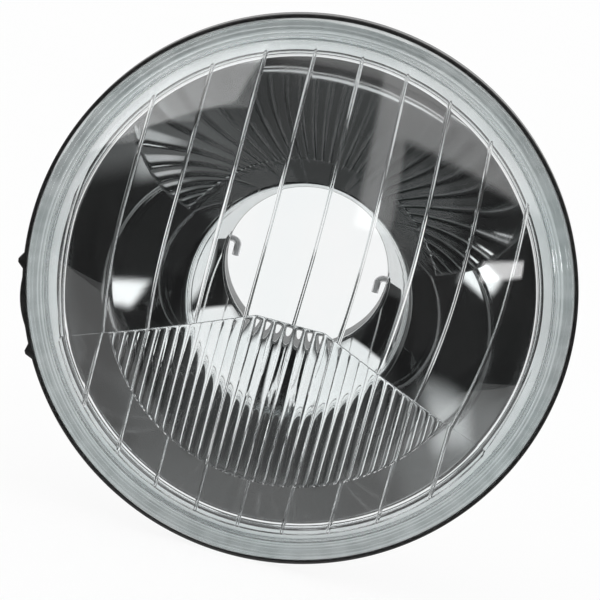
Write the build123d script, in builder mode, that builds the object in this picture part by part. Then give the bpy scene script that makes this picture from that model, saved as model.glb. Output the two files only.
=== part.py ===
from build123d import *
import os
from math import cos, radians, sin, sqrt, tan

# A round headlight insert: a domed pressed-glass lens sealed into the rim of a parabolic
# steel reflector, with a bulb seat and a wire bail behind. The optical axis lies along Y,
# the glass faces -Y and +Z is up as fitted. The origin is on the axis, in the plane of the
# rim's rear face. Every length is in millimetres and every angle in degrees.

# Reflector: a bowl with a rolled mouth, then a channel and a rim wall
rim_diameter = 146.0
rim_height = 7.0
rim_round = 0.9
sheet = 1.0
channel_width = 6.2
mouth_land = 2.8
mouth_drop = 2.0
focal_length = 21.0
bowl_back = 1.4
bulb_hole_diameter = 44.0

# Locating lugs and the low pad between them, on the rim's left side below the horizontal
lug_angles = (8.6, 27.7)
lug_height = 1.35
lug_width = 4.2
lug_tip = 0.9
lug_length = 4.0
pad_angle = 17.2
pad_height = 0.65
pad_cover = 0.3
pad_width = 13.0

# Glass: a dome with a border that steps down to the skirt
edge_gap = 0.4
skirt_gap = 0.4
dome_height = 17.0
border_step = 0.8
border_width = 5.4
border_fall = 1.2
glass_proud = 1.6
glass_edge_round = 0.9
glass_thickness = 3.8
seal_thickness = 1.0
seal_gap = 0.05
seal_height = 4.0

# Pattern pressed into the inside of the glass: wide flutes above and below a roof line that
# runs from edge to edge, and a fan of fine ribs hanging under the roof
upper_pitch = 12.4
lower_pitch = 11.65
flute_bulge = 0.08
lower_step = 0.3
roof_drop = 5.6
roof_width = 18.0
roof_slope = 24.2
rib_pitch = 2.6
rib_bulge = 0.55
fan_radius = 49.8
fan_step = 0.5
fan_root = 1.2
room_overrun = 1.0

# Bulb seat ring behind the bowl and the bail that swings in its ears
collar_sheet = 1.2
collar_gap = 0.05
foot_width = 8.5
sleeve_length = 9.0
seat_width = 4.3
key_width = 5.0
key_depth = 2.4
ear_inset = 0.2
ear_width = 8.0
ear_reach = 5.5
wire_diameter = 1.8
pivot_clearance = 0.05
hook_inset = 2.0
hook_length = 4.4
hook_bend = 1.6
arm_gap = 1.6
bail_length = 34.0
bail_corner = 9.0

# Sizes worked out from the ones above
rim_r = rim_diameter / 2
wall_r = rim_r - sheet
channel_r = wall_r - channel_width
mouth_r = channel_r - mouth_land
mouth_height = rim_height - mouth_drop
hole_r = bulb_hole_diameter / 2
vertex = mouth_r**2 / (4 * focal_length) - mouth_height

glass_r = wall_r - edge_gap
skirt_r = channel_r + skirt_gap
skirt_end = -sheet - seal_thickness
border_front = -rim_height - glass_proud
dome_r = glass_r - border_width
dome_edge = border_front - border_fall - border_step
dome_radius = (dome_r**2 + dome_height**2) / (2 * dome_height)
dome_centre = dome_edge - dome_height + dome_radius
crease_radius = dome_radius - glass_thickness


def bowl_y(radius, shift=0.0):
    """Place along the axis of the mirror, or of a surface set back from it, at a radius."""
    return vertex + shift - radius**2 / (4 * focal_length)


def bowl_curve(start, end, shift=0.0):
    """Parabola between two radii: its middle pole is where the end tangents cross."""
    pole = vertex + shift - start * end / (4 * focal_length)
    middle = ((start + end) / 2, pole)
    return Bezier((start, bowl_y(start, shift)), middle, (end, bowl_y(end, shift)))


def rim_plane(angle):
    """Plane on the rim's front edge, angle below the left side, facing backwards."""
    out = (-cos(radians(angle)), 0, -sin(radians(angle)))
    return Plane(origin=(rim_r * out[0], -rim_height, rim_r * out[2]), x_dir=out, z_dir=(0, 1, 0))


def scallops(pitch, radius, bulge, count):
    """Chain of arcs along a circle of the dome, each flatter than the circle between its creases."""
    for step in range(-count, count):
        left = pitch * step
        right = pitch * (step + 1)
        left_y = sqrt(radius**2 - left**2)
        right_y = sqrt(radius**2 - right**2)
        middle = (left + right) / 2
        crown = (middle, sqrt((radius - bulge) ** 2 - middle**2))
        ThreePointArc((left, left_y), crown, (right, right_y))


def spindle(pitch, radius):
    """Section of a room inside the glass: flutes in front, closed along the dome's cross axis."""
    count = int(skirt_r / pitch) + 1
    reach = pitch * count
    end_y = sqrt(radius**2 - reach**2)
    scallops(pitch, radius, flute_bulge, count)
    Polyline((reach, end_y), (reach, 0), (-reach, 0), (-reach, end_y))


def roof_line():
    """Points of the roof line: level in the middle and sloping down to both sides of the rim."""
    half = roof_width / 2
    low = -roof_drop - (rim_r - half) * tan(radians(roof_slope))
    return [(-rim_r, low), (-half, -roof_drop), (half, -roof_drop), (rim_r, low)]


# Reflector pressing
fold_y = -mouth_height + sheet
fold_r = sqrt(4 * focal_length * (vertex + bowl_back - fold_y))
with BuildPart() as reflector:
    with BuildSketch(Plane.XY) as bowl_section:
        with BuildLine():
            bowl_curve(hole_r, mouth_r)
            Polyline(
                (mouth_r, -mouth_height),
                (channel_r, -mouth_height),
                (channel_r, -sheet),
                (wall_r, -sheet),
                (wall_r, -rim_height),
                (rim_r, -rim_height),
                (rim_r, 0),
                (channel_r - sheet, 0),
                (channel_r - sheet, fold_y),
                (fold_r, fold_y),
            )
            bowl_curve(fold_r, hole_r, bowl_back)
            Line((hole_r, bowl_y(hole_r, bowl_back)), (hole_r, bowl_y(hole_r)))
        make_face()
        rim_corner = bowl_section.vertices().sort_by_distance((rim_r, 0))[:1]
        fillet(rim_corner, radius=rim_round)
    revolve(axis=Axis.Y)
    for angle in lug_angles:
        with BuildSketch(rim_plane(angle)):
            with BuildLine():
                Polyline(
                    (-sheet / 2, -lug_width / 2),
                    (lug_height, -lug_tip / 2),
                    (lug_height, lug_tip / 2),
                    (-sheet / 2, lug_width / 2),
                    close=True,
                )
            make_face()
        extrude(amount=lug_length)
    pad_root = pad_cover - sheet
    with BuildSketch(rim_plane(pad_angle)):
        with BuildLine():
            ThreePointArc((pad_root, -pad_width / 2), (pad_height, 0), (pad_root, pad_width / 2))
            Line((pad_root, pad_width / 2), (pad_root, -pad_width / 2))
        make_face()
    extrude(amount=lug_length)
reflector.part.label = "reflector"

# Rooms inside the glass above and below the roof line: spindles with a scallop for each flute
dome_axis = Axis((0, dome_centre, 0), (1, 0, 0))
with BuildPart() as upper_room:
    with BuildSketch(Plane.XY):
        with BuildLine(Plane((0, dome_centre, 0))):
            spindle(upper_pitch, crease_radius)
        make_face()
    revolve(axis=dome_axis)
    with BuildSketch(Plane.XZ.offset(-skirt_end - room_overrun)):
        Circle(skirt_r)
        with BuildLine():
            Polyline(*roof_line(), (rim_r, rim_r), (-rim_r, rim_r), close=True)
        make_face(mode=Mode.INTERSECT)
    extrude(amount=dome_radius, mode=Mode.INTERSECT)

with BuildPart() as lower_room:
    with BuildSketch(Plane.XY):
        with BuildLine(Plane((0, dome_centre, 0))):
            spindle(lower_pitch, crease_radius - lower_step)
        make_face()
    revolve(axis=dome_axis)
    with BuildSketch(Plane.XZ.offset(-skirt_end - room_overrun)):
        Circle(skirt_r)
        with BuildLine():
            Polyline(*roof_line(), (rim_r, -rim_r), (-rim_r, -rim_r), close=True)
        make_face(mode=Mode.INTERSECT)
    extrude(amount=dome_radius, mode=Mode.INTERSECT)

# Fan of fine ribs: a ring of scallops trimmed to a sector under the roof line
rib_count = int(fan_radius / rib_pitch) + 1
rib_reach = rib_pitch * rib_count
rib_radius = crease_radius - fan_step
root_radius = crease_radius + fan_root
with BuildPart() as fan:
    with BuildSketch(Plane.XY):
        with BuildLine(Plane((0, dome_centre, 0))):
            scallops(rib_pitch, rib_radius, rib_bulge, rib_count)
            inner_y = sqrt(rib_radius**2 - rib_reach**2)
            outer_y = sqrt(root_radius**2 - rib_reach**2)
            Line((rib_reach, inner_y), (rib_reach, outer_y))
            ThreePointArc((rib_reach, outer_y), (0, root_radius), (-rib_reach, outer_y))
            Line((-rib_reach, outer_y), (-rib_reach, inner_y))
        make_face()
    revolve(axis=dome_axis)
    with BuildSketch(Plane.XZ):
        Circle(fan_radius)
        with BuildLine():
            Polyline(*roof_line(), (rim_r, -rim_r), (-rim_r, -rim_r), close=True)
        make_face(mode=Mode.INTERSECT)
    extrude(amount=dome_radius, mode=Mode.INTERSECT)

# Lens pressing
with BuildPart() as lens:
    with BuildSketch(Plane.XY) as glass_section:
        with BuildLine():
            half_r = dome_r / 2
            ThreePointArc(
                (0, dome_edge - dome_height),
                (half_r, dome_centre - sqrt(dome_radius**2 - half_r**2)),
                (dome_r, dome_edge),
            )
            Polyline(
                (dome_r, dome_edge),
                (dome_r, dome_edge + border_step),
                (glass_r, border_front),
                (glass_r, skirt_end),
                (0, skirt_end),
                (0, dome_edge - dome_height),
            )
        make_face()
        glass_corner = glass_section.vertices().sort_by_distance((glass_r, border_front))[:1]
        fillet(glass_corner, radius=glass_edge_round)
    revolve(axis=Axis.Y)
    add(upper_room.part, mode=Mode.SUBTRACT)
    add(lower_room.part, mode=Mode.SUBTRACT)
    add(fan.part)
lens.part.label = "lens"

# Sealant in the channel: a bed under the skirt and a thin upstand outside it
with BuildPart() as lens_seal:
    with BuildSketch(Plane.XY):
        with BuildLine():
            Polyline(
                (channel_r + seal_gap, -sheet),
                (wall_r - seal_gap, -sheet),
                (wall_r - seal_gap, skirt_end - seal_height),
                (glass_r + seal_gap, skirt_end - seal_height),
                (glass_r + seal_gap, skirt_end),
                (channel_r + seal_gap, skirt_end),
                close=True,
            )
        make_face()
    revolve(axis=Axis.Y)
lens_seal.part.label = "lens_seal"

# Bulb seat: a foot on the bowl, a short sleeve, a flat seat with a notch for the bulb's key
# at its top, and two ears for the bail
foot_r = hole_r + foot_width
foot_shift = bowl_back + collar_gap
sleeve_r = hole_r + collar_sheet
seat_back = bowl_y(hole_r, foot_shift) + sleeve_length
seat_r = hole_r + seat_width
ear_out = seat_r - ear_inset
ear_in = ear_out - collar_sheet
wire_r = wire_diameter / 2
pivot_y = seat_back + ear_reach
with BuildPart() as bulb_collar:
    with BuildSketch(Plane.XY):
        with BuildLine():
            bowl_curve(hole_r, foot_r, foot_shift)
            Line(
                (foot_r, bowl_y(foot_r, foot_shift)),
                (foot_r, bowl_y(foot_r, foot_shift + collar_sheet)),
            )
            bowl_curve(foot_r, sleeve_r, foot_shift + collar_sheet)
            Polyline(
                (sleeve_r, bowl_y(sleeve_r, foot_shift + collar_sheet)),
                (sleeve_r, seat_back - collar_sheet),
                (seat_r, seat_back - collar_sheet),
                (seat_r, seat_back),
                (hole_r, seat_back),
                (hole_r, bowl_y(hole_r, foot_shift)),
            )
        make_face()
    revolve(axis=Axis.Y)
    with BuildSketch(Plane.XZ.offset(-seat_back)):
        with Locations((0, seat_r)):
            Rectangle(key_width, 2 * key_depth)
    extrude(amount=collar_sheet, mode=Mode.SUBTRACT)
    for side_x in (ear_in, -ear_out):
        with BuildSketch(Plane.YZ.offset(side_x)):
            with Locations((pivot_y - ear_reach / 2 - collar_sheet / 2, 0)):
                Rectangle(ear_reach + collar_sheet, ear_width)
            with Locations((pivot_y, 0)):
                Circle(ear_width / 2)
                Circle(wire_r + pivot_clearance, mode=Mode.SUBTRACT)
        extrude(amount=collar_sheet)
bulb_collar.part.label = "bulb_collar"

# Bail: one length of spring wire, hooked through the ears and hanging behind the bowl
hook_x = hole_r - hook_inset
arm_x = ear_out + arm_gap + wire_r
with BuildPart() as bulb_bail:
    with BuildLine(Plane.XZ.offset(-pivot_y)) as bail_path:
        FilletPolyline(
            (-hook_x, -hook_length),
            (-hook_x, 0),
            (-arm_x, 0),
            (-arm_x, -bail_length),
            (arm_x, -bail_length),
            (arm_x, 0),
            (hook_x, 0),
            (hook_x, -hook_length),
            radius=[hook_bend, hook_bend, bail_corner, bail_corner, hook_bend, hook_bend],
        )
    with BuildSketch(Plane(origin=bail_path.line @ 0, z_dir=bail_path.line % 0)):
        Circle(wire_r)
    sweep()
bulb_bail.part.label = "bulb_bail"

os.makedirs("parts", exist_ok=True)
export_step(reflector.part, "parts/reflector.step")
export_step(lens.part, "parts/lens.step")
export_step(lens_seal.part, "parts/lens_seal.step")
export_step(bulb_collar.part, "parts/bulb_collar.step")
export_step(bulb_bail.part, "parts/bulb_bail.step")
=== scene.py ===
from math import atan2, cos, degrees, hypot, pi, radians, sin, sqrt, tan

import bpy
from mathutils import Matrix, Vector


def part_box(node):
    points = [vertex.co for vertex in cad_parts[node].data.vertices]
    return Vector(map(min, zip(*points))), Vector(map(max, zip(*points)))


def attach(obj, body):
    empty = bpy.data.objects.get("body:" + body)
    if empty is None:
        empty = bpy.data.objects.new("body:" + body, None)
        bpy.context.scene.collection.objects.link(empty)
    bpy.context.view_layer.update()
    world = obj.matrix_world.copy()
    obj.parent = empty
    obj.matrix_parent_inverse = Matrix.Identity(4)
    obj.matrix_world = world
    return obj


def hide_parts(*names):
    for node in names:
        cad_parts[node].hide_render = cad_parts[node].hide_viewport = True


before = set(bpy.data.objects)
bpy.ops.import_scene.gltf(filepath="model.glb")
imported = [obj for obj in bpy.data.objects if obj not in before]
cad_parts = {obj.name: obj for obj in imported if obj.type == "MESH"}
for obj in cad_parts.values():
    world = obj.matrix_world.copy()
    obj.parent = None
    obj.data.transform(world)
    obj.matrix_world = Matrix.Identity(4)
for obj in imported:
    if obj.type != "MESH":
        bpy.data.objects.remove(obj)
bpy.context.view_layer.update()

# Lens: one pressing of clear soda glass, a dome with a plain border and a skirt that stands in
# the reflector's channel. Its inside carries wide upright flutes with a fine bead at each joint,
# and under a roof line a fan of fine ribs that spreads the light sideways.
mm = 0.001
lens_low, lens_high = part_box("lens")
glass_r = lens_high.x / mm
apex_y = lens_low.y / mm
seal_clearance = 0.05
skirt_end = lens_high.y / mm - seal_clearance
border_width = 5.4
border_step = 0.8
border_fall = 1.2
border_round = 0.9
dome_height = 17.0
glass_thickness = 3.8
dome_r = glass_r - border_width
dome_edge = apex_y + dome_height
dome_radius = (dome_r**2 + dome_height**2) / (2 * dome_height)
dome_centre = apex_y + dome_radius
inner_radius = dome_radius - glass_thickness
pattern_r = 63.4
roof_drop = 5.6
roof_width = 18.0
roof_slope = tan(radians(24.2))
upper_width = 12.62
widest_z = 12.0
taper_above = 0.00018
taper_below = 0.00082
lean_most = 1.25
lean_z = 18
lean_spread = 29
lower_step = 0.5
lower_pitch = 11.65
joints_each_side = 4
flute_bulge = 0.06
bead_depth = 0.3
bead_half = 0.55
fan_radius = 49.8
fan_step = 0.9
rib_pitch = 2.6
rib_bulge = 0.2
groove_depth = 0.2
groove_half = 0.4
rib_round = 1.3
end_drop = 0.4


def upper_pitch(z):
    """Width of an upper flute at a height: widest a little above the middle."""
    taper = taper_above if z > widest_z else taper_below
    return upper_width - taper * (z - widest_z) ** 2


def upper_line(place, z):
    """Where an upper flute joint, counted from the middle one, lies across the lens at a height."""
    lean = lean_most * 2.0 ** -(((z - lean_z) / lean_spread) ** 2)
    return lean + place * upper_pitch(z)


def place_at(x, z):
    """The flute coordinate of a point of the upper field."""
    return (x - upper_line(0.0, z)) / upper_pitch(z)


def roof(x):
    """Height of the roof line across the lens."""
    return -roof_drop - max(0.0, abs(x) - roof_width / 2) * roof_slope


def inner_y(x, z, thick):
    """Place along the axis of the inside of the glass, with some more glass than the plain dome."""
    return dome_centre - sqrt((inner_radius - thick) ** 2 - x * x - z * z)


def from_joint(place, pitch):
    """Offset of a place from the nearest of the joints that stand a pitch apart."""
    return ((place / pitch + 0.5) % 1.0 - 0.5) * pitch


def hump(offset, half):
    """A rounded hump: 1 in the middle, and 0 from half of its width on."""
    return (1 + cos(pi * offset / half)) / 2 if abs(offset) < half else 0.0


def flute(offset, pitch):
    """More glass in a wide flute at an offset from its nearest joint: a low swell and a bead."""
    swell = flute_bulge * (1 - (1 - 2 * min(abs(offset), pitch / 2) / pitch) ** 2)
    return swell + bead_depth * hump(offset, bead_half)


def lower_flute(x):
    """More glass below the roof line and outside the fan."""
    return lower_step + flute(from_joint(x, lower_pitch), lower_pitch)


def rib(x, inset):
    """More glass in the fan: low arcs with a fine groove between, rounded off at both ends."""
    offset = abs(from_joint(x, rib_pitch))
    arc = rib_bulge * (1 - (2 * offset / rib_pitch) ** 2)
    groove = groove_depth * hump(rib_pitch / 2 - offset, groove_half)
    short = max(0.0, 1 - inset / rib_round)
    return fan_step + arc - groove - end_drop * (1 - sqrt(1 - short * short))


def solve(start, end, miss):
    """Where miss changes sign between start and end, by halving."""
    halvings = 50
    sign = miss(start) > 0
    for _ in range(halvings):
        middle = (start + end) / 2
        if (miss(middle) > 0) == sign:
            start = middle
        else:
            end = middle
    return (start + end) / 2


roof_end = solve(roof_width / 2, pattern_r, lambda x: hypot(x, roof(x)) - pattern_r)
fan_end = solve(roof_width / 2, fan_radius, lambda x: hypot(x, roof(x)) - fan_radius)

# Columns run up the lens along the flutes. Each is kept as its place across the roof line, where
# the upper field meets the fan and the lower field.
bead_parts = 5
rib_parts = 8
outer_columns = 24
least_gap = 0.015
columns = {-roof_end, roof_end, -fan_end, fan_end}
bead_steps = [bead_half * k / bead_parts for k in range(-bead_parts, bead_parts + 1)]
fan_steps = int(fan_end * rib_parts / rib_pitch)
columns.update(rib_pitch * k / rib_parts for k in range(-fan_steps, fan_steps + 1))
for place in range(-joints_each_side, joints_each_side + 1):
    joint = solve(-roof_end, roof_end, lambda x: x - upper_line(place, roof(x)))
    columns.update(joint + step for step in bead_steps)
    columns.update(place * lower_pitch + step for step in bead_steps)
outer_gap = (roof_end - fan_end) / outer_columns
columns.update(side * (fan_end + outer_gap * k) for k in range(1, outer_columns) for side in (-1, 1))
columns = sorted(columns)
columns = [x for i, x in enumerate(columns)
           if i == 0 or x - columns[i - 1] > least_gap or x == roof_end]

points = []
faces = []


def add_point(x, y, z):
    """A new point of the mesh in hand, given in millimetres, and its number."""
    points.append((x * mm, y * mm, z * mm))
    return len(points) - 1


def sheet(grid, flip=False):
    """Faces over a list of columns of equal length; a point that stands twice makes a triangle."""
    for a, b in zip(grid, grid[1:]):
        for i in range(len(a) - 1):
            loop = [a[i], b[i], b[i + 1], a[i + 1]]
            loop = [p for n, p in enumerate(loop) if p != loop[n - 1]]
            if len(loop) > 2:
                faces.append(loop if flip else loop[::-1])


# Upper field: every column stands on the roof line, or beyond its ends on the pattern's circle.
upper_rows = 40
side_columns = 16
tip_step = 0.1
tip_steps = range(-260, 120)


def upper_column(place, bottom, start):
    """Points of a column up to the pattern's circle, which it meets once above a start inside."""
    top = solve(start, pattern_r + 1, lambda z: hypot(upper_line(place, z), z) - pattern_r)
    column = []
    for row in range(upper_rows + 1):
        z = bottom + (top - bottom) * row / upper_rows
        x = upper_line(place, z)
        offset = from_joint(place, 1.0) * upper_pitch(z)
        column.append(add_point(x, inner_y(x, z, flute(offset, upper_pitch(z))), z))
    return column


def side_field(side):
    """Columns beyond an end of the roof line, out to the one that only touches the circle."""
    def reach(z):
        return side * place_at(side * sqrt(pattern_r**2 - z * z), z)

    tip_z = max((tip_step * k for k in tip_steps), key=reach)
    inner = side * place_at(side * roof_end, roof(roof_end))
    under = roof(roof_end) - 1
    field = []
    for k in range(1, side_columns):
        place = side * (inner + (reach(tip_z) - inner) * sin(pi / 2 * k / side_columns))
        bottom = solve(tip_z, under, lambda z: hypot(upper_line(place, z), z) - pattern_r)
        field.append(upper_column(place, bottom, tip_z))
    return field


left_field = side_field(-1)[::-1]
right_field = side_field(1)
over_roof = [upper_column(place_at(x, roof(x)), roof(x), roof(x) + 1) for x in columns]
upper = left_field + over_roof + right_field
sheet(upper)
foot = {x: column[0] for x, column in zip(columns, over_roof)}

# Fan and lower field share the columns; at the fan's corners and at the roof line's ends the
# fields run out into one point. Steps join them to each other and to the upper field.
lower_rows = 18
end_parts = 5
middle_rows = 10
end_steps = [rib_round * k / end_parts for k in range(end_parts + 1)]
fan_rows = 2 * len(end_steps) + middle_rows - 1
fan_grid = []
lower_grid = []
for x in columns:
    arc = -sqrt(fan_radius**2 - x * x) if abs(x) < fan_end else roof(x)
    rim = -sqrt(max(0.0, pattern_r**2 - x * x))
    if abs(x) == roof_end:
        lower_grid.append([foot[x]] * (lower_rows + 1))
        continue
    heights = [arc + (rim - arc) * row / lower_rows for row in range(lower_rows + 1)]
    lower_grid.append([add_point(x, inner_y(x, z, lower_flute(x)), z) for z in heights])
    if abs(x) == fan_end:
        fan_grid.append([lower_grid[-1][0]] * (fan_rows + 1))
    elif abs(x) < fan_end:
        length = roof(x) - arc
        ends = [min(step, length / 3) for step in end_steps]
        middle_length = length - 2 * ends[-1]
        middle = [ends[-1] + middle_length * k / (middle_rows + 1) for k in range(1, middle_rows + 1)]
        column = []
        for down in ends + middle + [length - step for step in reversed(ends)]:
            z = roof(x) - down
            column.append(add_point(x, inner_y(x, z, rib(x, min(down, length - down))), z))
        fan_grid.append(column)
sheet(fan_grid, flip=True)
sheet(lower_grid, flip=True)
fan_columns = [x for x in columns if abs(x) <= fan_end]
fan_heads = {x: column[0] for x, column in zip(fan_columns, fan_grid)}
fan_feet = {x: column[-1] for x, column in zip(fan_columns, fan_grid)}
lower_heads = {x: column[0] for x, column in zip(columns, lower_grid)}
sheet([[fan_heads.get(x, lower_heads[x]), foot[x]] for x in columns])
sheet([[fan_feet[x], lower_heads[x]] for x in fan_columns], flip=True)

# Border, skirt and dome: turned rows that start at the pattern's edge points, go round the skirt
# and the border with its low ridges, and close over the outside of the dome.
edge = [column[-1] for column in upper] + upper[-1][-2:0:-1]
edge += [column[0] for column in reversed(right_field)]
edge += [column[-1] for column in reversed(lower_grid)]
edge += [column[0] for column in reversed(left_field)] + upper[0][1:-1]
border_more = 0.1
pattern_gap = 0.5
inner_round = 0.4
skirt_round = 0.3
skirt_r = dome_r
profile = [(r, inner_y(r, 0, border_more)) for r in (pattern_r + pattern_gap, skirt_r - inner_round)]
inner_top = inner_y(skirt_r, 0, border_more)
profile += [(skirt_r, inner_top + inner_round), (skirt_r, (inner_top + skirt_end) / 2)]
profile += [(skirt_r, skirt_end - skirt_round), (skirt_r + skirt_round, skirt_end)]
profile += [(glass_r - skirt_round, skirt_end), (glass_r, skirt_end - skirt_round)]
border_front = dome_edge + border_step + border_fall
profile += [(glass_r, (border_front + skirt_end) / 2)]
round_parts = 6
for k in range(round_parts + 1):
    turn = pi / 2 * k / round_parts
    round_r = glass_r - border_round * (1 - cos(turn))
    profile.append((round_r, border_front + border_round * (1 - sin(turn))))
ridge_radii = (70.0, 68.4, 67.4)
ridge_half = 0.3
ridge_height = 0.16
for ridge_r in ridge_radii:
    for out, rise in ((ridge_half, 0.0), (0.0, ridge_height), (-ridge_half, 0.0)):
        share = (glass_r - border_round - ridge_r - out) / (border_width - border_round)
        profile.append((ridge_r + out, border_front - border_fall * share - rise))
step_round = 0.25
step_lean = 0.05
step_drop = 0.2
step_y = border_front - border_fall
profile += [(dome_r + step_round, step_y), (dome_r + step_lean, step_y - step_drop)]
profile += [(dome_r, dome_edge + step_round)]
dome_rows = 22
for k in range(dome_rows):
    r = dome_r * cos(pi / 2 * k / dome_rows)
    profile.append((r, dome_centre - sqrt(dome_radius**2 - r * r)))
apex = add_point(0, apex_y, 0)
turned = []
for index in edge:
    x, y, z = points[index]
    turn = atan2(z, x)
    turned.append([index] + [add_point(r * cos(turn), y, r * sin(turn)) for r, y in profile] + [apex])
turned.append(turned[0])
sheet(turned)


def make_piece(name, sharp):
    """An object of the points and faces in hand, smooth but for edges above an angle in degrees."""
    mesh = bpy.data.meshes.new(name)
    mesh.from_pydata(points, [], faces)
    mesh.validate()
    mesh.polygons.foreach_set("use_smooth", [True] * len(mesh.polygons))
    mesh.set_sharp_from_angle(angle=radians(sharp))
    piece = bpy.data.objects.new(name, mesh)
    bpy.context.scene.collection.objects.link(piece)
    return piece


class Value:
    """One output of a node tree. The arithmetic signs write Math nodes, and node() writes any other."""

    def __init__(self, tree, socket=None):
        self.tree = tree
        self.socket = socket

    def node(self, kind, settings=None, output=0, **sockets):
        """A new node: its settings, then its sockets by name with underscores for spaces, or as i0, i1."""
        made = self.tree.nodes.new(kind)
        for name, setting in (settings or {}).items():
            setattr(made, name, setting)
        for name, value in sockets.items():
            key = int(name[1:]) if name[0] == "i" and name[1:].isdigit() else name.replace("_", " ")
            self.feed(made.inputs[key], value)
        return Value(self.tree, made.outputs[output])

    def several(self, kind, names, **sockets):
        """The named outputs of one new node."""
        made = self.node(kind, **sockets).socket.node
        return [Value(self.tree, made.outputs[name]) for name in names]

    def feed(self, socket, value):
        """Links a value to a socket, or sets the socket to a plain number or colour."""
        if isinstance(value, Value):
            self.tree.links.new(value.socket, socket)
        else:
            socket.default_value = value

    def math(self, operation, first, second):
        """A Math node of two values."""
        return self.node("ShaderNodeMath", {"operation": operation}, i0=first, i1=second)

    def __add__(self, other):
        return self.math("ADD", self, other)

    def __radd__(self, other):
        return self.math("ADD", other, self)

    def __sub__(self, other):
        return self.math("SUBTRACT", self, other)

    def __rsub__(self, other):
        return self.math("SUBTRACT", other, self)

    def __mul__(self, other):
        return self.math("MULTIPLY", self, other)

    def __rmul__(self, other):
        return self.math("MULTIPLY", other, self)

    def __truediv__(self, other):
        return self.math("DIVIDE", self, other)

    def __rtruediv__(self, other):
        return self.math("DIVIDE", other, self)

    def range(self, low, high, to_low=0.0, to_high=1.0):
        """This value carried smoothly from low..high to to_low..to_high, and held outside."""
        return self.node("ShaderNodeMapRange", {"interpolation_type": "SMOOTHSTEP"}, Value=self,
                         From_Min=low, From_Max=high, To_Min=to_low, To_Max=to_high)

    def at_least(self, count):
        """For a value that counts: 1 from a count on, and 0 below it."""
        return self.range(count - 0.8, count - 0.2)

    def blend(self, first, second):
        """The colour between first and second that this value picks."""
        return self.node("ShaderNodeMix", {"data_type": "RGBA"}, output=2, i0=self, i6=first, i7=second)


def new_finish(name):
    """A new material, its shader and a value to write its nodes with."""
    material = bpy.data.materials.new(name)
    material.use_nodes = True
    return material, material.node_tree.nodes["Principled BSDF"], Value(material.node_tree)


cloud_low = 0.3
cloud_high = 0.7
cloud_top = 0.8


def clouded(name, grain, detail, dark, light, smooth, rough):
    """A material and its shader, with soft clouds of two colours and of two roughnesses."""
    material, shader, net = new_finish(name)
    where = net.node("ShaderNodeTexCoord", output="Object")
    cloud = net.node("ShaderNodeTexNoise", Vector=where, Scale=grain, Detail=detail)
    colour = cloud.range(cloud_low, cloud_high).blend((*dark, 1), (*light, 1))
    net.feed(shader.inputs["Base Color"], colour)
    net.feed(shader.inputs["Roughness"], cloud.range(cloud_low, cloud_top, smooth, rough))
    return material, shader


lens = make_piece("lens_glass", sharp=32)
glass, shader = clouded("pressed_glass", grain=40.0, detail=3.0, dark=(0.955, 0.982, 0.985),
                        light=(0.985, 0.994, 0.996), smooth=0.0, rough=0.012)
shader.inputs["Transmission Weight"].default_value = 1.0
shader.inputs["IOR"].default_value = 1.5
lens.data.materials.append(glass)
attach(lens, "lamp")
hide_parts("lens")

# Reflector: one steel pressing. The bowl inside is coated with bright aluminium, the channel round
# its mouth is pale and matt, and the outside is black lacquer. The rim wall carries two pinched
# lugs and a low pad on its left.
bowl_low, bowl_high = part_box("reflector")
rim_r = bowl_high.z / mm
rim_front = bowl_low.y / mm
sheet_mm = 1.0
wall_r = rim_r - sheet_mm
channel_width = 6.2
channel_r = wall_r - channel_width
mouth_land = 2.8
mouth_r = channel_r - mouth_land
mouth_drop = 2.0
mouth_y = rim_front + mouth_drop
focal = 21.0
hole_r = 22.0
back_shift = 1.4
vertex = mouth_y + mouth_r**2 / (4 * focal)
lug_angles = (8.6, 27.7)
lug_height = 1.35
lug_half = 2.1
lug_top_half = 0.45
lug_length = 4.0
pad_angle = 17.2
pad_height = 0.65
pad_half = 6.5


def bowl(r, shift=0.0):
    """Place along the axis of the parabola at a radius."""
    return vertex + shift - r * r / (4 * focal)


def bowl_points(start, end, rows, shift=0.0):
    """Points of the parabola in equal steps of radius."""
    radii = [start + (end - start) * k / rows for k in range(rows + 1)]
    return [(r, bowl(r, shift)) for r in radii]


def corner(centre_r, centre_y, radius, start, end, steps):
    """Points of a turned corner between two directions in degrees."""
    turns = [radians(start + (end - start) * k / steps) for k in range(steps + 1)]
    return [(centre_r + radius * cos(t), centre_y + radius * sin(t)) for t in turns]


# The section runs from the hole over the mirror and the rolled mouth, down into the channel, up
# and round the rim wall, and home along the back.
bend = 0.3
hole_edge = 0.15
hole_lead = 0.35
hole_back = 0.2
back_lead = 0.25
lip = 1.4
lip_lead = 1.2
lip_turn = 0.6
lip_shift = 0.2
channel_bend = 0.5
channel_y = -sheet_mm - bend
wall_middle = 0.6
wall_heights = (1.2, 2.6, lug_length, lug_length + 0.4)
shoulder = 0.9
fold_bend = 0.4
bowl_rows = 60
back_rows = 30
slope = degrees(atan2(2 * focal, mouth_r))
section = [(hole_r, bowl(hole_r, back_shift) - hole_back), (hole_r, bowl(hole_r) + bend)]
section += corner(hole_r + bend, bowl(hole_r) + hole_edge, bend, 180, 250, 4)
section += bowl_points(hole_r + hole_lead, mouth_r - lip * cos(radians(slope)) * lip_lead, bowl_rows)
section += corner(mouth_r + lip_shift, mouth_y + lip, lip, 180 + slope * lip_turn, 270, 6)
mirror_to = len(section)
section += corner(channel_r - channel_bend, mouth_y + channel_bend, channel_bend, 270, 360, 4)
section += corner(channel_r + bend, channel_y, bend, 180, 90, 3)
section += corner(wall_r - bend, channel_y, bend, 90, 0, 3)
matt_to = len(section)
section += [(wall_r, rim_front * wall_middle)]
section += corner(wall_r + bend, rim_front + bend, bend, 180, 270, 3)
wall_from = len(section)
section += corner(rim_r - bend, rim_front + bend, bend, 270, 360, 3)
section += [(rim_r, rim_front + height) for height in wall_heights]
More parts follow.
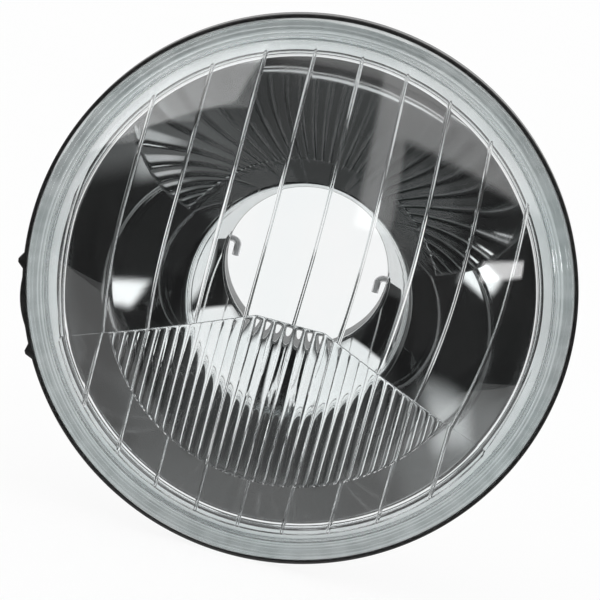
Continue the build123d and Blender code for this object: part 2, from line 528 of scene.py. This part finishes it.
wall_to = len(section)
section += corner(rim_r - shoulder, -shoulder, shoulder, 0, 90, 6)
section += [((rim_r + channel_r) / 2, 0.0)]
fold_wall_r = channel_r - sheet_mm
section += corner(fold_wall_r + fold_bend, -fold_bend, fold_bend, 90, 180, 4)
fold_y = mouth_y + sheet_mm
fold_r = sqrt(4 * focal * (vertex + back_shift - fold_y))
section += [(fold_wall_r, fold_y + bend), (fold_wall_r - bend, fold_y), (fold_r + bend, fold_y)]
section += bowl_points(fold_r, hole_r + back_lead, back_rows, back_shift)

# Round the axis the steps are even, with finer ones over the lugs and the pad.
rim_turns = 540
fine_turn = 0.12
fine_steps = 16
least_turn = 0.0007
turns = set(2 * pi * k / rim_turns for k in range(rim_turns))
for angle in (*lug_angles, pad_angle):
    turns.update(pi + radians(angle + fine_turn * k) for k in range(-fine_steps, fine_steps + 1))
turns = sorted(turns)
turns = [t for i, t in enumerate(turns) if i == 0 or t - turns[i - 1] > least_turn]


def wall_swell(turn):
    """How far the rim wall is pushed out at an angle: pinched lugs and a low pad."""
    out = 0.0
    for angle in lug_angles:
        reach = abs(turn - pi - radians(angle)) * rim_r
        out = max(out, lug_height * min(1.0, max(0.0, (lug_half - reach) / (lug_half - lug_top_half))))
    reach = abs(turn - pi - radians(pad_angle)) * rim_r
    return max(out, pad_height * max(0.0, 1 - (reach / pad_half) ** 2))


points = []
faces = []
ring = []
for turn in turns:
    column = []
    for row, (r, y) in enumerate(section):
        if wall_from <= row < wall_to - 1:
            r += wall_swell(turn)
        column.append(add_point(r * cos(turn), y, r * sin(turn)))
    ring.append(column + column[:1])
ring.append(ring[0])
sheet(ring)
reflector = make_piece("reflector_bowl", sharp=40)
mirror, shader = clouded("bright_aluminium", grain=60.0, detail=4.0, dark=(0.86, 0.87, 0.87),
                         light=(0.91, 0.91, 0.91), smooth=0.015, rough=0.04)
shader.inputs["Metallic"].default_value = 1.0
lacquer, shader = clouded("black_lacquer", grain=700.0, detail=4.0, dark=(0.008, 0.008, 0.008),
                          light=(0.018, 0.017, 0.017), smooth=0.32, rough=0.38)
matt, shader = clouded("pale_lacquer", grain=90.0, detail=4.0, dark=(0.7, 0.72, 0.72),
                       light=(0.78, 0.8, 0.8), smooth=0.45, rough=0.6)
finishes = (mirror, lacquer, matt)
for finish in finishes:
    reflector.data.materials.append(finish)
finish_of_row = [lacquer] + [mirror] * (mirror_to - 2) + [matt] * (matt_to - mirror_to + 1)
finish_of_row += [lacquer] * (len(section) - matt_to)
slot_of_row = [finishes.index(finish) for finish in finish_of_row]
slots = [slot_of_row[n % len(section)] for n in range(len(reflector.data.polygons))]
reflector.data.polygons.foreach_set("material_index", slots)
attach(reflector, "lamp")
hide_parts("reflector")

# Sealant: a pale bead of silicone run into the channel under the glass skirt. Where it was pressed
# up it fills the groove between the rounded edge of the glass and the rim. The places where it was
# are given by their middles and half widths in degrees.
seal_low, seal_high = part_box("lens_seal")
seal_out = seal_high.x / mm
seal_in = channel_r + wall_r - seal_out
bed_back = seal_high.y / mm
bed_front = skirt_end + seal_clearance
upstand_front = seal_low.y / mm
upstand_r = glass_r + seal_clearance
squeezed = ((88.0, 24.0), (160.0, 10.0), (259.0, 20.0))
seal_turns = 720
round_reach = radians(50)
below_rim = 0.1
fillet_bulge = 0.12


def squeeze(turn):
    """How far the sealant is pressed up at an angle, from 0 to 1."""
    shares = [(degrees(turn) - middle) / half for middle, half in squeezed]
    return max(max(0.0, 1 - share**4) for share in shares)


points = []
faces = []
ring = []
for step in range(seal_turns):
    turn = 2 * pi * step / seal_turns
    up = squeeze(turn)
    edge_r = glass_r - border_round + (border_round + seal_clearance) * cos(round_reach * up)
    edge_y = border_front + border_round - (border_round + seal_clearance) * sin(round_reach * up)
    lip_y = upstand_front + (edge_y - upstand_front) * up
    wall_y = upstand_front + (rim_front - below_rim - upstand_front) * up
    outline = [(seal_in, bed_back), (seal_out, bed_back), (seal_out, wall_y)]
    outline += [((seal_out + edge_r) / 2, (wall_y + lip_y) / 2 - fillet_bulge), (edge_r, lip_y)]
    outline += [(upstand_r, upstand_front), (upstand_r, bed_front), (seal_in, bed_front)]
    column = [add_point(r * cos(turn), y, r * sin(turn)) for r, y in outline]
    ring.append(column + column[:1])
ring.append(ring[0])
sheet(ring, flip=True)
seal = make_piece("sealant_bead", sharp=40)

# Painted shade: its bed is darker in a band round the lens, standing in for the light and shade of the
# glass skirt above it; faint clouds of a paler tone lie over all of it.
shade_band_from = 68.0
shade_band_to = 71.0
shade_band_soft = 0.5
shade_band_wander = 0.6
pale_share = 0.3
bed_colour = (0.62, 0.65, 0.65, 1)
painted_shade_colour = (0.42, 0.45, 0.45, 1)
pale_colour = (0.86, 0.88, 0.88, 1)
seal_smooth = 0.35
seal_rough = 0.6
silicone, shader, net = new_finish("pale_silicone")
where = net.node("ShaderNodeTexCoord", output="Object")
cloud = net.node("ShaderNodeTexNoise", Vector=where, Scale=220.0, Detail=3.0)
seal_x, seal_z = net.several("ShaderNodeSeparateXYZ", ("X", "Z"), Vector=where)
seal_r = net.math("POWER", seal_x * seal_x + seal_z * seal_z, 0.5) + (cloud - 0.5) * (shade_band_wander * mm)
shade_band_in = seal_r.range(shade_band_from * mm, (shade_band_from + shade_band_soft) * mm)
shade_band_out = seal_r.range((shade_band_to - shade_band_soft) * mm, shade_band_to * mm)
# Painted shade: the darker band is laid into the bed's colour here.
bed = (shade_band_in * (1 - shade_band_out)).blend(bed_colour, painted_shade_colour)
paler = cloud.range(cloud_low, cloud_high) * pale_share
net.feed(shader.inputs["Base Color"], paler.blend(bed, pale_colour))
net.feed(shader.inputs["Roughness"], cloud.range(cloud_low, cloud_top, seal_smooth, seal_rough))
seal.data.materials.append(silicone)
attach(seal, "lamp")
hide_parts("lens_seal")

# Bulb seat: a ring pressed from steel sheet, lacquered black and welded to the back of the bowl
# round the hole. Two ears stand out from it for the bail. Its shape is the CAD part's own.
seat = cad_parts["bulb_collar"]
coat, shader = clouded("seat_lacquer", grain=700.0, detail=5.0, dark=(0.02, 0.02, 0.02),
                       light=(0.035, 0.034, 0.033), smooth=0.28, rough=0.36)
seat.data.materials.clear()
seat.data.materials.append(coat)

# Bail: one length of drawn and bright plated spring wire, bent to a loop. Its hooked ends turn in
# the two ears of the seat. Its shape is the CAD part's own.
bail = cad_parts["bulb_bail"]
wire, shader = clouded("spring_wire", grain=400.0, detail=5.0, dark=(0.78, 0.78, 0.78),
                       light=(0.86, 0.86, 0.87), smooth=0.08, rough=0.2)
shader.inputs["Metallic"].default_value = 0.5
bail.data.materials.clear()
bail.data.materials.append(wire)

# Floor: a sheet of white paper under the rim that runs away behind. The camera sees it white with
# a faint shadow. Mirror and glass rays see a dark table, pale close to the lamp and far behind,
# and pale all over once they have passed through glass three times.
floor_half = 1.5
floor_front = -0.14
floor_back = 3.0
floor_z = -rim_r * mm
floor_corners = [(-floor_half, floor_front, floor_z), (floor_half, floor_front, floor_z),
                 (floor_half, floor_back, floor_z), (-floor_half, floor_back, floor_z)]
floor_mesh = bpy.data.meshes.new("floor")
floor_mesh.from_pydata(floor_corners, [], [(0, 1, 2, 3)])
floor = bpy.data.objects.new("floor", floor_mesh)
bpy.context.scene.collection.objects.link(floor)


def grey(level):
    """A neutral colour."""
    return (level, level, level, 1)


table_grey = 0.02
table_grey_through_glass = 0.15
pale_grey = 0.9
shadow_share = 0.1
near_half = 0.025
near_slope = 0.72
near_from = -0.042
near_to = -0.034
sweep_from = 0.15
sweep_to = 0.35
paper, shader, net = new_finish("white_paper")
shader.inputs["Roughness"].default_value = 0.9
cloud = net.node("ShaderNodeTexNoise", Scale=30.0)
paper_colour = cloud.range(cloud_low, cloud_high).blend(grey(0.88), grey(0.9))
net.feed(shader.inputs["Base Color"], paper_colour)
camera_ray, glossy_ray, clear_ray, spread, passed = net.several("ShaderNodeLightPath", (
    "Is Camera Ray", "Is Glossy Ray", "Is Transmission Ray", "Diffuse Depth", "Transmission Depth"))
where = net.node("ShaderNodeNewGeometry", output="Position")
floor_x, floor_y = net.several("ShaderNodeSeparateXYZ", ("X", "Y"), Vector=where)
aside = net.math("MAXIMUM", net.math("ABSOLUTE", floor_x, 0.0) - near_half, 0.0)
near = (floor_y + aside * near_slope).range(near_from, near_to)
sweep = floor_y.range(sweep_from, sweep_to)
mirror_ray = net.math("MAXIMUM", glossy_ray, clear_ray) * (1 - spread.at_least(1))
seen = net.math("MAXIMUM", camera_ray * (1 - shadow_share), mirror_ray)
table = passed.at_least(1).blend(grey(table_grey), grey(table_grey_through_glass))
table = near.blend(table, grey(pale_grey))
table = passed.at_least(3).blend(table, grey(pale_grey))
shade = net.math("MAXIMUM", camera_ray, sweep).blend(table, grey(1))
glow = net.node("ShaderNodeEmission", Color=shade, Strength=1.0)
lit_paper = Value(paper.node_tree, shader.outputs[0])
mixed = net.node("ShaderNodeMixShader", i0=seen, i1=lit_paper, i2=glow)
net.feed(paper.node_tree.nodes["Material Output"].inputs[0], mixed)
floor_mesh.materials.append(paper)

# Room: plain white light from all round. Mirror and glass rays see a dark room with lit windows
# instead. One set of windows is for rays that have passed through glass less than three times,
# which the lens sends back or the hole lets through, the other for the image in the bowl.
world = bpy.data.worlds.new("studio")
bpy.context.scene.world = world
world.use_nodes = True
net = Value(world.node_tree)
ray = net.node("ShaderNodeTexCoord", output="Generated")
x_side, y_side, z_side = net.several("ShaderNodeSeparateXYZ", ("X", "Y", "Z"), Vector=ray)
glossy_ray, clear_ray, spread, passed, bounced = net.several("ShaderNodeLightPath", (
    "Is Glossy Ray", "Is Transmission Ray", "Diffuse Depth", "Transmission Depth", "Glossy Depth"))
least_ahead = 0.02
ahead = net.math("MAXIMUM", 0.0 - y_side, least_ahead)
across = x_side / ahead
height = z_side / ahead


def window(left, right, low, high, soft=0.02, lean=0.0):
    """A lit oblong in front: 1 inside its four edges, the lower and upper ones leaning if asked."""
    level = height - across * lean
    inside = across.range(left - soft, left + soft) * (1 - across.range(right - soft, right + soft))
    return inside * level.range(low - soft, low + soft) * (1 - level.range(high - soft, high + soft))


def backdrop(strength):
    """Even white light of one strength."""
    return net.node("ShaderNodeBackground", Color=grey(1), Strength=strength)


def hang(room, lights):
    """The room with lights hung in it one after the other, each where its share is 1."""
    for share, strength in lights:
        room = net.node("ShaderNodeMixShader", i0=share, i1=room, i2=backdrop(strength))
    return room


# The outer face of the dome shows a window at full strength, the glass behind it less, and images
# that were sent to and fro three times show less of the white sheet behind.
inner_share = 0.6
ghost_loss = 0.8
first_face = 1 - passed.range(0.5, 1.5)
on_dome = inner_share + first_face * (1 - inner_share)
sheet_behind = y_side.range(0.1, 0.35) * (1 - bounced.at_least(3) * ghost_loss)
below = 1 - z_side.range(-0.16, -0.08)
dark = backdrop(0.01)
top_middle = window(left=-0.6, right=0.2, low=1.05, high=4.0, soft=0.06)
top_left = window(left=-3.0, right=-0.563, low=0.893, high=4.0, lean=0.402) * on_dome
top_right = window(left=0.2, right=1.4, low=0.71, high=1.3, soft=0.04, lean=-0.09) * on_dome
upright_strip = window(left=0.14, right=0.3, low=0.2, high=1.2) * on_dome
right_patch = window(left=0.84, right=1.2, low=-0.07, high=0.024, lean=0.21) * first_face
front_room = hang(dark, (
    (below, 0.02), (top_middle, 1.2), (top_left, 3.8), (top_right, 2.3), (upright_strip, 2.3),
    (right_patch, 14.0), (sheet_behind, 1.0)))

ceiling = z_side.range(0.4, 0.44) * y_side.range(-0.7, -0.62)
ceiling_gap = x_side.range(-0.2, -0.16) * (1 - x_side.range(0.08, 0.12))
split_ceiling = ceiling * (1 - ceiling_gap)
low_band = window(left=-0.26, right=0.36, low=-0.17, high=0.04, soft=0.03)
right_wall = window(left=0.45, right=1.2, low=-0.6, high=0.9, soft=0.05)
left_wall = window(left=-1.2, right=-0.45, low=-0.6, high=0.9, soft=0.05)
right_haze = window(left=0.15, right=0.6, low=-0.02, high=0.7, soft=0.05)
high_haze = window(left=-0.6, right=0.6, low=0.4, high=0.9, soft=0.04)
far_right = x_side.range(0.84, 0.88)
far_left = (0 - x_side).range(0.88, 0.9)
far_below = (0 - z_side).range(0.88, 0.9)
left_pane = window(left=-0.13, right=-0.085, low=0.125, high=0.2, soft=0.01)
right_pane = window(left=0.13, right=0.26, low=0.1, high=0.19, soft=0.03)
bowl_room = hang(dark, (
    (below, 0.06), (low_band, 0.05), (right_wall, 0.03), (left_wall, 0.03), (right_haze, 0.13),
    (high_haze, 0.1), (split_ceiling, 1.1), (far_right, 1.0), (far_left, 0.45), (far_below, 0.7),
    (left_pane, 1.5), (right_pane, 0.6), (sheet_behind, 1.0)))
room = net.node("ShaderNodeMixShader", i0=passed.at_least(3), i1=front_room, i2=bowl_room)
mirror_ray = net.math("MAXIMUM", glossy_ray, clear_ray) * (1 - spread.at_least(1))
mixed = net.node("ShaderNodeMixShader", i0=mirror_ray, i1=backdrop(1.0), i2=room)
net.feed(world.node_tree.nodes["World Output"].inputs[0], mixed)

# Camera: a long lens a metre in front of the lamp, a little above its axis. It is rolled, since
# the photograph shows the lamp turned, and aimed so that the lamp sits in the frame as it does there.
view_distance = 1.0
elevation = radians(9.6)
azimuth = radians(0.2)
roll = radians(15.0)
aim_depth = -8
aim_right = 0.21
aim_up = -1.84
frame_pixels = 600
focal_pixels = 3822
camera_data = bpy.data.cameras.new("camera")
camera_data.sensor_width = 36.0
camera_data.lens = camera_data.sensor_width * focal_pixels / frame_pixels
camera = bpy.data.objects.new("camera", camera_data)
bpy.context.scene.collection.objects.link(camera)
bpy.context.scene.camera = camera
back = Vector((sin(azimuth) * cos(elevation), -cos(azimuth) * cos(elevation), sin(elevation)))
level_right = Vector((cos(azimuth), sin(azimuth), 0))
level_up = back.cross(level_right)
right = level_right * cos(roll) + level_up * sin(roll)
up = level_up * cos(roll) - level_right * sin(roll)
aim = Vector((0, aim_depth * mm, 0)) + right * aim_right * mm + up * aim_up * mm
facing = Matrix((right, up, back)).transposed().to_4x4()
camera.matrix_world = Matrix.Translation(aim + back * view_distance) @ facing

# The glass and the mirror pass light on many times, so the limits on a ray's path are high.
scene = bpy.context.scene
scene.view_settings.view_transform = "Standard"
scene.cycles.blur_glossy = 0.0
scene.cycles.max_bounces = 40
scene.cycles.transmission_bounces = 24
scene.cycles.glossy_bounces = 16
scene.cycles.transparent_max_bounces = 16
